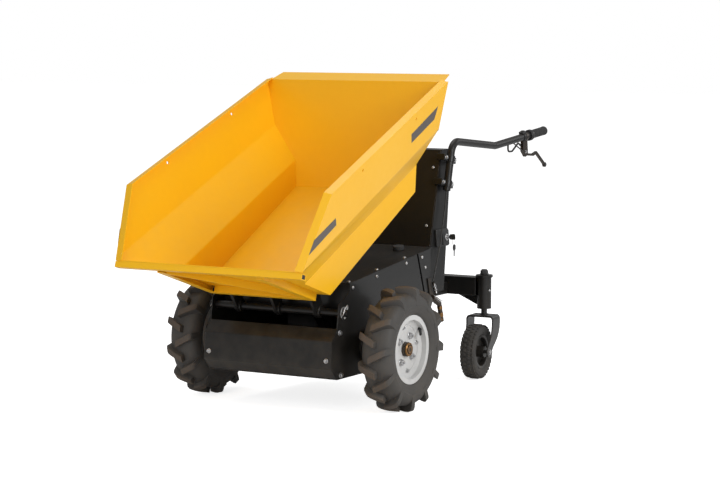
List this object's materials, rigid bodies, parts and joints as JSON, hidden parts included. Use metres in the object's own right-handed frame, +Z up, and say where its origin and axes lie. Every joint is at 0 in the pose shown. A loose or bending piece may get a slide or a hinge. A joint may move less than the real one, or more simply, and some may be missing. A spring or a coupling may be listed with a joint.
{
  "type": "site dumper",
  "caption": "Walk-behind battery-electric mini site dumper: open tipping hopper, sheet-metal chassis, lugged drive tyres, rear casters and handlebars.",
  "frame": {"origin": "on the ground, at the middle of the machine's outline as stored with the hopper part-tipped", "axes": "+X the driving and tipping direction, +Y the operator's left, +Z up"},
  "size_m": [1.9584, 0.87, 1.1051],
  "materials": {
    "battery_case": "matt",
    "black_plastic": "matt",
    "caster_rubber": "matt",
    "chassis_paint": "semi-gloss black powder coat",
    "grip_rubber": "matt",
    "hopper_paint": "satin yellow-orange powder coat",
    "hub_brass": "dull yellow-passivated",
    "rim_paint": "satin silver paint",
    "tube_paint": "satin dark grey powder coat",
    "tyre_rubber": "matt, slightly dusty",
    "zinc_steel": "zinc-plated"
  },
  "bodies": {
    "chassis": {"actuator_foot": "chassis_paint", "axle_housings": "chassis_paint", "battery": "battery_case", "brake_cable_lower": "black_plastic", "brake_cable_upper": "black_plastic", "brake_lever": "zinc_steel", "brake_unit": "zinc_steel", "column_casing": "chassis_paint", "column_left_side": "chassis_paint", "column_right_side": "chassis_paint", "deck": "chassis_paint", "drive_unit": "chassis_paint", "floor_pan": "chassis_paint", "front_cover": "chassis_paint", "grips": "grip_rubber", "handle_clamps": "chassis_paint", "key_switch": "black_plastic", "left_caster_post": "chassis_paint", "left_handlebar": "tube_paint", "left_side_plate": "chassis_paint", "rear_arms": "chassis_paint", "rear_beam": "chassis_paint", "rear_wall": "chassis_paint", "rest_pads": "grip_rubber", "right_caster_post": "chassis_paint", "right_handlebar": "tube_paint", "right_side_plate": "chassis_paint", "switch_lead": "black_plastic", "tail_plates": "chassis_paint", "throttle_collars": "black_plastic", "tipping_shaft": "zinc_steel"},
    "hopper": {"hopper_back": "hopper_paint", "hopper_bracket": "chassis_paint", "hopper_floor": "hopper_paint", "hopper_front": "hopper_paint", "hopper_left_wall": "hopper_paint", "hopper_lip": "hopper_paint", "hopper_ribs": "hopper_paint", "hopper_right_wall": "hopper_paint", "hopper_stays": "hopper_paint", "pivot_ears": "chassis_paint"},
    "actuator_body": {"actuator_body": "chassis_paint"},
    "actuator_rod": {"actuator_rod": "zinc_steel"},
    "left_wheel": {"left_tyre": "tyre_rubber", "left_rim": "rim_paint", "left_axle": "hub_brass"},
    "left_caster": {"left_caster_fork": "zinc_steel"},
    "left_caster_wheel": {"left_caster_tyre": "caster_rubber", "left_caster_rim": "rim_paint"},
    "right_wheel": {"right_tyre": "tyre_rubber", "right_rim": "rim_paint", "right_axle": "hub_brass"},
    "right_caster": {"right_caster_fork": "zinc_steel"},
    "right_caster_wheel": {"right_caster_tyre": "caster_rubber", "right_caster_rim": "rim_paint"}
  },
  "joints": [
    {"name": "hopper_tip", "type": "hinge", "parent": "chassis", "child": "hopper", "pos_m": [0.54975, 0, 0.336], "axis": [0, 1, 0], "range_deg": [-19, 39.3]},
    {"name": "actuator_swing", "type": "hinge", "parent": "chassis", "child": "actuator_body", "pos_m": [0.21275, 0, 0.19], "axis": [0, 1, 0], "range_deg": [-3, 6]},
    {"name": "actuator_stroke", "type": "slide", "parent": "actuator_body", "child": "actuator_rod", "axis": [0.6247, 0, 0.7809], "range_m": [-0.057, 0.115]},
    {"name": "left_wheel_spin", "type": "hinge", "parent": "chassis", "child": "left_wheel", "pos_m": [0.39275, 0.379, 0.2085], "axis": [0, 1, 0], "continuous": true},
    {"name": "right_wheel_spin", "type": "hinge", "parent": "chassis", "child": "right_wheel", "pos_m": [0.39275, -0.379, 0.2085], "axis": [0, 1, 0], "continuous": true},
    {"name": "left_caster_swivel", "type": "hinge", "parent": "chassis", "child": "left_caster", "pos_m": [-0.40825, 0.271, 0.227], "axis": [0, 0, 1], "continuous": true},
    {"name": "left_caster_spin", "type": "hinge", "parent": "left_caster", "child": "left_caster_wheel", "pos_m": [-0.33652, 0.27727, 0.1], "axis": [-0.0872, 0.9962, 0], "continuous": true},
    {"name": "right_caster_swivel", "type": "hinge", "parent": "chassis", "child": "right_caster", "pos_m": [-0.40825, -0.271, 0.227], "axis": [0, 0, 1], "continuous": true},
    {"name": "right_caster_spin", "type": "hinge", "parent": "right_caster", "child": "right_caster_wheel", "pos_m": [-0.33652, -0.27727, 0.1], "axis": [0.0872, 0.9962, 0], "continuous": true}
  ],
  "couplings": [
    {"joint": "actuator_stroke", "follows": "hopper_tip", "m_per_rad": 0.166},
    {"joint": "actuator_swing", "follows": "hopper_tip", "ratio": 0.105}
  ]
}
